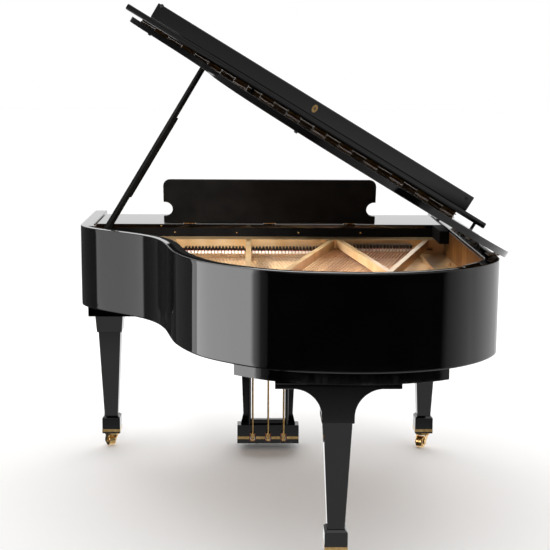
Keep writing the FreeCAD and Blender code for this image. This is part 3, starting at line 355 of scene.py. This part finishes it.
edge_radius_mm = {
    "outer_rim": 1.2, "main_lid": 4.5, "flap_panel": 4.5, "flap_apron": 3.0, "tail_plinth": 3.0,
    "music_shelf": 2.0, "desk_panel": 3.0, "key_bed": 2.0, "key_blocks": 3.0, "key_slip": 2.5,
    "fallboard": 3.0, "leg_bass": 2.0, "leg_treble": 2.0, "leg_tail": 2.0, "leg_collars": 2.0,
    "leg_ferrules": 1.0, "tail_bracket": 2.5, "lyre_frame": 2.0, "pedal_box": 2.5, "prop_stick": 2.0,
    "half_stick": 1.0, "damper_heads": 0.6, "pedal_soft": 1.2, "pedal_sostenuto": 1.2,
    "pedal_sustain": 1.2,
}
for name, radius in edge_radius_mm.items():
    round_edges(name, radius)


# Modelling helpers
def begin():
    # Leaves edit mode and deselects everything
    if bpy.context.object and bpy.context.object.mode != "OBJECT":
        bpy.ops.object.mode_set(mode="OBJECT")
    bpy.ops.object.select_all(action="DESELECT")


def choose_faces(toward):
    # In edit mode, selects the faces that point the given way
    piece = bpy.context.object
    bpy.ops.mesh.select_mode(type="FACE")
    bpy.ops.mesh.select_all(action="DESELECT")
    form = bmesh.from_edit_mesh(piece.data)
    for face in form.faces:
        face.select_set(face.normal.dot(toward) > 0.9)
    form.select_flush_mode()
    bmesh.update_edit_mesh(piece.data)


def bar(low, high, round_by):
    # A block with every edge rounded
    begin()
    low, high = Vector(low), Vector(high)
    bpy.ops.mesh.primitive_cube_add(size=1.0)
    bpy.ops.object.mode_set(mode="EDIT")
    bpy.ops.transform.resize(value=high - low)
    bpy.ops.transform.translate(value=(low + high) / 2)
    bpy.ops.mesh.bevel(offset=round_by, segments=2, affect="EDGES")
    bpy.ops.object.mode_set(mode="OBJECT")
    return bpy.context.object


def turning(profile, sides):
    # A round piece on the Z axis, drawn up from its foot: each step is a radius and a height
    begin()
    radius, height = profile[0]
    bpy.ops.mesh.primitive_circle_add(vertices=sides, radius=radius, fill_type="NGON",
                                      location=(0, 0, height))
    bpy.ops.object.transform_apply(location=True, rotation=False, scale=False)
    bpy.ops.object.mode_set(mode="EDIT")
    for wide, high in profile[1:]:
        bpy.ops.mesh.extrude_region_move(TRANSFORM_OT_translate={"value": (0, 0, high - height)})
        bpy.ops.transform.resize(value=(wide / radius, wide / radius, 1))
        radius, height = wide, high
    bpy.ops.mesh.select_all(action="SELECT")
    bpy.ops.mesh.normals_make_consistent(inside=False)
    bpy.ops.object.mode_set(mode="OBJECT")
    bpy.ops.object.shade_smooth_by_angle(angle=math.radians(40))
    return bpy.context.object


def cut(piece, cutter):
    # Takes the cutter's shape out of a piece
    begin()
    bpy.context.view_layer.objects.active = piece
    opening = piece.modifiers.new("opening", "BOOLEAN")
    opening.object = cutter
    opening.solver = "EXACT"
    bpy.ops.object.modifier_apply(modifier=opening.name)
    bpy.data.objects.remove(cutter)
    return piece


def facing(place, normal):
    # Stands a model that was made upright on a surface with this normal
    return Matrix.Translation(place) @ up.rotation_difference(Vector(normal)).to_matrix().to_4x4()


def fit(piece, name, body, finish):
    # Names a piece, finishes it and lets it move with its body
    piece.name = name
    piece.data.name = name
    piece.data.materials.clear()
    piece.data.materials.append(finish)
    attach(piece, body)
    return piece


def copies(model, spots, name, body, finish):
    # One model copied to many places, each with a mesh of its own, and joined as one set
    begin()
    made = []
    for spot in spots:
        copy = model.copy()
        copy.data = model.data.copy()
        copy.data.transform(spot)
        bpy.context.scene.collection.objects.link(copy)
        made.append(copy)
    bpy.data.objects.remove(model)
    for copy in made:
        copy.select_set(True)
    bpy.context.view_layer.objects.active = made[0]
    if len(made) > 1:
        bpy.ops.object.join()
    return fit(made[0], name, body, finish)


def solids_of(name):
    # The points of each separate solid in a node, whose mesh is loose triangles
    mesh = nodes[name].data
    meets = {}
    group = [meets.setdefault(tuple(round(c, 6) for c in vertex.co), vertex.index)
             for vertex in mesh.vertices]

    def root(index):
        while group[index] != index:
            group[index] = group[group[index]]
            index = group[index]
        return index

    for face in mesh.polygons:
        first = root(face.vertices[0])
        for index in face.vertices[1:]:
            group[root(index)] = first
    solids = {}
    for vertex in mesh.vertices:
        solids.setdefault(root(vertex.index), []).append(vertex.co.copy())
    return list(solids.values())


def middle(points):
    return sum(points, Vector()) / len(points)


def lowest(points):
    return Vector([min(p[i] for p in points) for i in range(3)])


def highest(points):
    return Vector([max(p[i] for p in points) for i in range(3)])


def strike(name, start, direction):
    # Where a straight line from a point first meets a node
    hit, place, normal, _ = nodes[name].ray_cast(start, direction)
    return (place, normal) if hit else None


# Brass wood screw with a slotted, slightly domed head
def screw(radius, proud):
    dome = ((radius, 0), (radius, proud * 0.5), (radius * 0.86, proud * 0.85), (radius * 0.5, proud))
    head = turning(dome, 16)
    begin()
    bpy.ops.mesh.primitive_cube_add(size=1.0, location=(0, 0, proud))
    slot_cutter = bpy.context.object
    slot_cutter.scale = (radius * 3, radius * 0.24, proud * 0.9)
    bpy.ops.object.transform_apply(location=True, rotation=False, scale=True)
    return cut(head, slot_cutter)


# Screws in the lid hinges: on the rim's top, and up into the lid's underside
lid_pin = Vector(joints["lid_open"]["pos_m"])
lid_tilt = math.radians(31)
lid_run = Vector((math.cos(lid_tilt), 0, math.sin(lid_tilt)))
lid_under = Vector((lid_run.z, 0, -lid_run.x))
hinge_screw = {"radius": 3.4 * mm, "proud": 0.6 * mm}
leaf_out, above_leaf, below_leaf = 25 * mm, 10 * mm, 9 * mm
case_spots, lid_spots = [], []
for points in solids_of("lid_hinges"):
    low, high = lowest(points), highest(points)
    for share in (0.14, 0.5, 0.86):
        y = low.y + (high.y - low.y) * share
        over = Vector((lid_pin.x + leaf_out, y, high.z + above_leaf))
        found = strike("lid_hinges", over, -up)
        if found:
            case_spots.append(facing(found[0], up))
        under = lid_pin + lid_run * leaf_out + Vector((0, y, 0)) + lid_under * below_leaf
        found = strike("lid_hinge_leaves", under, -lid_under)
        if found:
            lid_spots.append(facing(found[0], lid_under))
copies(screw(**hinge_screw), case_spots, "lid_hinge_case_screws", "case", brass)
copies(screw(**hinge_screw), lid_spots, "lid_hinge_lid_screws", "lid", brass)

# Flat screws in the desk hinges' shelf leaves
desk_spots, leaf_in, above_desk_leaf = [], 6 * mm, 5 * mm
for points in solids_of("desk_hinges"):
    low, high = lowest(points), highest(points)
    for share in (0.12, 0.88):
        over = Vector((low.x + (high.x - low.x) * share, low.y + leaf_in, high.z + above_desk_leaf))
        desk_spots.append(facing(strike("desk_hinges", over, -up)[0], up))
copies(screw(radius=2.6 * mm, proud=0.15 * mm), desk_spots, "desk_hinge_screws", "case", brass)

# A black bead along the desk's foot, round the hinge line and between the hinges, drawn one metre long
# and then stretched to each place
desk_pin = Vector(joints["desk_fold"]["pos_m"])
desk_low, desk_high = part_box("desk_panel")
bead_radius, bead_clear = 3.7 * mm, 1.0 * mm
knuckles = sorted((lowest(points).x - bead_clear, highest(points).x + bead_clear)
                  for points in solids_of("desk_hinges"))
bead_starts = [desk_low.x] + [end for start, end in knuckles]
bead_ends = [start for start, end in knuckles] + [desk_high.x]
bead_spots = []
for start, end in zip(bead_starts, bead_ends):
    stretch = Matrix.Diagonal((1, 1, end - start, 1))
    bead_spots.append(facing((start, desk_pin.y, desk_pin.z), (1, 0, 0)) @ stretch)
bead_tip, bead_taper = bead_radius * 0.8, 0.004
bead = turning(((bead_tip, 0), (bead_radius, bead_taper), (bead_radius, 1 - bead_taper), (bead_tip, 1)), 20)
copies(bead, bead_spots, "desk_foot_bead", "desk", polyester)

# Screws in the shelf rail and the shelf's rear edge, each at its place across the case and its height
rail_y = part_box("music_shelf")[1].y
rail_places = ((0.4357, 0.9712), (0.3803, 0.9445), (0.1325, 0.9438), (-0.1179, 0.9438), (-0.3684, 0.9447))
rail_spots = [facing((x, rail_y, z), (0, 1, 0)) for x, z in rail_places]
copies(screw(radius=3.2 * mm, proud=0.8 * mm), rail_spots, "shelf_rail_screws", "case", brass)

# Button on the side block, the solid of the shelf rail that reaches furthest towards the tail
block_high = max((highest(points) for points in solids_of("shelf_rail")), key=lambda corner: corner.y)
button_back, button_down = 100 * mm, 9 * mm
knob = ((3, 0), (3, 2), (5, 3), (5.4, 5), (4.4, 7), (2, 8))
button = turning([(radius * mm, height * mm) for radius, height in knob], 20)
button_spot = facing((block_high.x, rail_y + button_back, block_high.z - button_down), (1, 0, 0))
copies(button, [button_spot], "side_block_button", "case", brass)

# Rubber stop buttons on the flap's apron, each at its place across the case and its height
apron_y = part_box("flap_apron")[1].y
stop_places = ((0.3957, 1.8179), (-0.7189, 1.1337))
stop_spots = [facing((x, apron_y, z), (0, 1, 0)) for x, z in stop_places]
stop_steps = ((7, 0), (7, 4), (6, 6), (3.5, 6.6))
stop = turning([(radius * mm, height * mm) for radius, height in stop_steps], 20)
copies(stop, stop_spots, "apron_stops", "flap", rubber)

# Red felt between each damper's head and its white felt, drawn one metre wide and then shrunk to fit
# each damper
damper_spots, felt_thick, felt_wider = [], 2.4 * mm, 0.4 * mm
for points in solids_of("damper_heads"):
    low, high = lowest(points), highest(points)
    size = high - low
    seat = Matrix.Translation(((low.x + high.x) / 2, (low.y + high.y) / 2, low.z))
    damper_spots.append(seat @ Matrix.Diagonal((size.x + felt_wider, size.y + felt_wider, felt_thick, 1)))
layer = bar((-0.5, -0.5, -0.5), (0.5, 0.5, 0.5), 0.08)
copies(layer, damper_spots, "damper_red_felts", "case", red_felt)

# Steel hitch pins behind the ends of the strings, driven into the iron plate and leaning to the tail
pin_spots, pin_lean = [], Vector((0, 0.25, 1)).normalized()
string_tip, pin_behind, pin_search, level_face = 2 * mm, 2.5 * mm, 30 * mm, 0.9
for name in ("steel_strings", "copper_strings"):
    for points in solids_of(name):
        back = max(p.y for p in points)
        end = middle([p for p in points if p.y > back - string_tip])
        found = strike("iron_plate", end + Vector((0, pin_behind, pin_search)), -up)
        if found and found[1].z > level_face:
            pin_spots.append(facing(found[0], pin_lean))
pin = turning(((1.4 * mm, -1 * mm), (1.4 * mm, 7.5 * mm), (0.9 * mm, 8.5 * mm)), 8)
copies(pin, pin_spots, "hitch_pins", "case", steel_wire)

# Gold bolts round the plate's edge, found by looking outwards from its middle
plate_middle = Vector((-0.12, 1.02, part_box("iron_plate")[1].z - 20 * mm))
bolts_from_y, bolt_in, bolt_search, flat_face = 0.7, 26 * mm, 50 * mm, 0.95
bolt_spots = []
for degrees in range(0, 360, 10):
    turn = math.radians(degrees)
    out = Vector((math.cos(turn), math.sin(turn), 0))
    lining_hit = strike("rim_lining", plate_middle, out)
    if lining_hit and lining_hit[0].y > bolts_from_y:
        found = strike("iron_plate", lining_hit[0] - out * bolt_in + up * bolt_search, -up)
        if found and found[1].z > flat_face:
            bolt_spots.append(facing(found[0], up))

# The bolt is a hexagon with a softened top on a wider flange
begin()
bpy.ops.mesh.primitive_cylinder_add(vertices=6, radius=8 * mm, depth=6 * mm, location=(0, 0, 4.5 * mm))
bolt = bpy.context.object
bpy.ops.object.transform_apply(location=True, rotation=False, scale=False)
bpy.ops.object.mode_set(mode="EDIT")
choose_faces(up)
bpy.ops.mesh.bevel(offset=1.2 * mm, segments=2, affect="EDGES")
choose_faces(-up)
bpy.ops.mesh.extrude_region_move(TRANSFORM_OT_translate={"value": (0, 0, 0)})
bpy.ops.transform.resize(value=(1.45, 1.45, 1))
bpy.ops.mesh.extrude_region_move(TRANSFORM_OT_translate={"value": (0, 0, -1.5 * mm)})
bpy.ops.mesh.select_all(action="SELECT")
bpy.ops.mesh.normals_make_consistent(inside=False)
bpy.ops.object.mode_set(mode="OBJECT")
copies(bolt, bolt_spots, "plate_bolts", "case", gold_iron)

# Brass strips on the back of the pedal box, between the pedals' openings, let in a little
thin_edge = 0.4 * mm
box_low, box_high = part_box("pedal_box")
let_in, strip_low, strip_high, strip_proud = 0.5 * mm, 49 * mm, 61 * mm, 1.2 * mm
slot_half, slot_low, slot_high = 11.5 * mm, 38 * mm, 74 * mm
end_gap, slot_gap = 1 * mm, 2 * mm
pedal_middles = [sum(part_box("pedal_" + name), Vector()).x / 2
                 for name in ("soft", "sostenuto", "sustain")]
strip_starts = [box_low.x + end_gap] + [x + slot_half + slot_gap for x in pedal_middles]
strip_ends = [x - slot_half - slot_gap for x in pedal_middles] + [box_high.x - end_gap]
for count, (start, end) in enumerate(zip(strip_starts, strip_ends)):
    strip = bar((start, box_high.y - let_in, strip_low),
                (end, box_high.y + strip_proud, strip_high), thin_edge)
    fit(strip, "pedal_box_strip_%d" % count, "case", brass)

# Red felt lining at the sides of those openings, pressed into the wood by a hair
lining_thick, lining_deep, lining_proud = 1.6 * mm, 14 * mm, 2.5 * mm
lining_pressed, lining_raised = 0.1 * mm, 1 * mm
for count, x in enumerate(pedal_middles):
    left = x - slot_half - lining_pressed
    right = x + slot_half + lining_pressed - lining_thick
    for side, start in (("left", left), ("right", right)):
        lining = bar((start, box_high.y - lining_deep, slot_low + lining_raised),
                     (start + lining_thick, box_high.y + lining_proud, slot_high + lining_raised), thin_edge)
        fit(lining, "pedal_felt_%d_%s" % (count, side), "case", red_felt)

# Rail between the pillars, let into the top of the pedal box
rail_half, rail_tall, rail_front, rail_back = 72 * mm, 20 * mm, 42 * mm, 16 * mm
rail = bar((-rail_half, box_high.y - rail_front, box_high.z - let_in),
           (rail_half, box_high.y - rail_back, box_high.z + rail_tall), 2.5 * mm)
fit(rail, "pedal_box_rail", "case", polyester)

# Brass band round the foot of each leg: a block hollowed out, let in as far as it stands proud
band_low, band_high = 73 * mm, 85 * mm
band_proud = Vector((0.5 * mm, 0.5 * mm, 0))
for count, points in enumerate(solids_of("leg_ferrules")):
    low, high = lowest(points), highest(points)
    outer_low, outer_high = low - band_proud, high + band_proud
    band = bar((outer_low.x, outer_low.y, band_low), (outer_high.x, outer_high.y, band_high), thin_edge)
    block = bar(low + band_proud, high - band_proud, 0.2 * mm)
    fit(cut(band, block), "leg_band_%d" % count, "case", brass)

# Red felt strip across the keys, under the open fallboard
key_low, key_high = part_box("white_keys")
felt_front, felt_back, felt_low, felt_high = 186.2 * mm, 198 * mm, 743.6 * mm, 749.5 * mm
felt = bar((key_low.x, felt_front, felt_low), (key_high.x, felt_back, felt_high), 1.5 * mm)
fit(felt, "name_board_felt", "case", red_felt)

# Batten that stands on the key bed and closes the slit below the belly rail, inside the case
belly_low, belly_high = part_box("inner_rim")
bed_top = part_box("key_frame")[0].z
batten_thick, batten_tall = 12 * mm, 60 * mm
batten = bar((belly_low.x, belly_low.y - batten_thick, bed_top),
             (belly_high.x, belly_low.y, bed_top + batten_tall), 0.8 * mm)
fit(batten, "belly_rail_batten", "case", maple)

# Camera at the photograph's view; its focal length is in pixels of the photograph's width
eye = Vector((0.0810, 5.4457, 1.6088))
pitch, yaw, roll = 0.1663, -0.0209, 0.0062
focal_pixels, photo_pixels = 1244.9, 550
look = Vector((math.sin(yaw) * math.cos(pitch), -math.cos(yaw) * math.cos(pitch), -math.sin(pitch)))
level_right = look.cross(up).normalized()
level_up = level_right.cross(look)
right = level_right * math.cos(roll) + level_up * math.sin(roll)
view_up = right.cross(look)
camera = bpy.data.objects.new("camera", bpy.data.cameras.new("camera"))
camera.data.sensor_width = 36.0
camera.data.lens = camera.data.sensor_width * focal_pixels / photo_pixels
camera.matrix_world = Matrix((
    (right.x, view_up.x, -look.x, eye.x), (right.y, view_up.y, -look.y, eye.y),
    (right.z, view_up.z, -look.z, eye.z), (0, 0, 0, 1)))
bpy.context.scene.collection.objects.link(camera)
bpy.context.scene.camera = camera

# Pale studio floor in matt paint, left out of the mirror finish so that the black stays deep
bpy.ops.object.select_all(action="DESELECT")
bpy.ops.mesh.primitive_plane_add(size=80.0, location=(0, 0, cad_low.z))
floor = bpy.context.object
floor.name = "studio_floor"
floor_paint, tree, _ = blank_material("matt_floor_paint")
surface = node(tree, "ShaderNodeBsdfPrincipled", {"Base Color": linear("#fbfaf9"), "Roughness": 0.9})
node(tree, "ShaderNodeOutputMaterial", {"Surface": surface})
floor.data.materials.append(floor_paint)
floor.visible_glossy = False

# Room light: white overhead and behind, dark on the side of the tail, and plain white as a backdrop
world = bpy.data.worlds.new("studio_room")
world.use_nodes = True
bpy.context.scene.world = world
tree = world.node_tree
tree.nodes.clear()
aim = node(tree, "ShaderNodeTexCoord", {}).outputs["Generated"]
parts = node(tree, "ShaderNodeSeparateXYZ", {"Vector": aim})
ahead = node(tree, "ShaderNodeMapRange", {"Value": parts.outputs["Y"], "From Min": -1.0, "From Max": 1.0})
round_about = node(tree, "ShaderNodeValToRGB", {"Fac": ahead},
                   stops=((0.3, "#ffffff"), (0.5, "#e0e0e0"), (0.70, "#909090"), (0.755, "#141414"),
                          (1.0, "#0c0c0c")))
beside = node(tree, "ShaderNodeMapRange",
              {"Value": parts.outputs["X"], "From Min": 0.25, "From Max": 0.4, "To Max": 0.96},
              interpolation_type="SMOOTHSTEP")
low_room = node(tree, "ShaderNodeMix", {0: beside, 6: round_about, 7: linear("#080808")},
                data_type="RGBA")
height = node(tree, "ShaderNodeMapRange", {"Value": parts.outputs["Z"], "From Min": -1.0, "From Max": 1.0})
layers = node(tree, "ShaderNodeValToRGB", {"Fac": height},
              stops=((0.34, "#c0c0c0"), (0.38, "#000000"), (0.46, "#000000"), (0.50, "#8c8c8c"),
                     (0.66, "#a8a8a8"), (0.80, "#ffffff")))
path = node(tree, "ShaderNodeLightPath", {})
shiny = path.outputs["Is Glossy Ray"]
# In the polish the treble side is dark up to the ceiling
ceiling = node(tree, "ShaderNodeMapRange",
               {"Value": parts.outputs["Z"], "From Min": 0.75, "From Max": 0.55},
               interpolation_type="SMOOTHSTEP")
side_wall = node(tree, "ShaderNodeMath", {0: beside, 1: ceiling}, operation="MULTIPLY")
hidden = node(tree, "ShaderNodeMath", {0: side_wall, 1: shiny}, operation="MULTIPLY")
lift = node(tree, "ShaderNodeMath", {0: 1.0, 1: hidden}, operation="SUBTRACT")
room = node(tree, "ShaderNodeMix", {0: lift, 6: low_room.outputs[2], 7: layers},
            data_type="RGBA", blend_type="LIGHTEN")
# In the polish a grey wall stands straight ahead
ahead_only = node(tree, "ShaderNodeMapRange",
                  {"Value": parts.outputs["Y"], "From Min": 0.75, "From Max": 0.9},
                  interpolation_type="SMOOTHSTEP")
grey_wall = node(tree, "ShaderNodeValToRGB", {"Fac": height},
                 stops=((0.34, "#c0c0c0"), (0.38, "#000000"), (0.435, "#000000"), (0.452, "#c4c4c4"),
                        (0.485, "#a4a4a4"), (0.52, "#8c8c8c"), (0.60, "#707070")))
facing_wall = node(tree, "ShaderNodeMath", {0: ahead_only, 1: shiny}, operation="MULTIPLY")
polish = node(tree, "ShaderNodeMix", {0: facing_wall, 6: room.outputs[2], 7: grey_wall},
              data_type="RGBA")
# The backdrop itself is plain white
seen = path.outputs["Is Camera Ray"]
level = node(tree, "ShaderNodeMapRange", {"Value": seen, "To Min": 1.2, "To Max": 1.0})
tone = node(tree, "ShaderNodeMix", {0: seen, 6: polish.outputs[2], 7: linear("#ffffff")},
            data_type="RGBA")
sky = node(tree, "ShaderNodeBackground", {"Color": tone.outputs[2], "Strength": level})
node(tree, "ShaderNodeOutputWorld", {"Surface": sky})
bpy.context.scene.view_settings.view_transform = "Standard"


# Panels of light: radiance over a rectangle that faces a point
def panel(name, spot, size, target, radiance):
    lamp = bpy.data.lights.new(name, "AREA")
    lamp.shape = "RECTANGLE"
    lamp.size, lamp.size_y = size
    lamp.energy = radiance * math.pi * size[0] * size[1]
    stand = bpy.data.objects.new(name, lamp)
    aim_turn = (Vector(target) - Vector(spot)).to_track_quat("-Z", "Y")
    stand.matrix_world = Matrix.Translation(spot) @ aim_turn.to_matrix().to_4x4()
    stand.visible_camera = False
    stand.visible_glossy = False
    bpy.context.scene.collection.objects.link(stand)
    return stand


# A standing card beside the bent side: it shows only in the polish, where it draws the pale bands
card_x, card_low, card_high, card_tall = 1.52, -0.5, 2.7, 2.2
bpy.ops.object.select_all(action="DESELECT")
bpy.ops.mesh.primitive_plane_add(size=1.0, location=(card_x, (card_low + card_high) / 2, card_tall / 2),
                                 rotation=(0, math.radians(-90), 0))
card = bpy.context.object
card.name = "bright_card"
card.scale = (card_tall, card_high - card_low, 1.0)
bpy.ops.object.transform_apply(location=True, rotation=True, scale=True)
card_paint, tree, place = blank_material("lit_card")
along = node(tree, "ShaderNodeSeparateXYZ", {"Vector": place}).outputs["Y"]
share = node(tree, "ShaderNodeMapRange", {"Value": along, "From Min": card_low, "From Max": card_high})
glow = node(tree, "ShaderNodeValToRGB", {"Fac": share},
            stops=((0.334, "#2a2a2a"), (0.344, "#989898"), (0.422, "#989898"), (0.431, "#dddddd"),
                   (0.578, "#eaeaea"), (0.675, "#f6f6f6"), (0.853, "#ffffff"), (0.881, "#a0a0a0"),
                   (0.938, "#3e3e3e"), (1.0, "#262626")))
light = node(tree, "ShaderNodeEmission", {"Color": glow, "Strength": 5.1})
node(tree, "ShaderNodeOutputMaterial", {"Surface": light})
card.data.materials.append(card_paint)
card.visible_camera = False
card.visible_diffuse = False
card.visible_shadow = False

# A soft wall of light behind the keyboard, and two narrow beams into the open case, one on the strings
# and one on the plate's front; none of them shows in the polish
panel("back_wall", (0, -3.2, 2.6), (6.0, 2.6), (0, 1.0, 0.4), 1.6)
string_beam = panel("string_beam", (1.3, 0.6, 2.35), (0.6, 0.6), (-0.42, 1.0, 0.88), 6.0)
string_beam.data.spread = math.radians(26)
front_beam = panel("front_beam", (0.4, 3.7, 2.6), (0.7, 0.7), (0.2, 0.42, 0.92), 2.2)
front_beam.data.spread = math.radians(20)
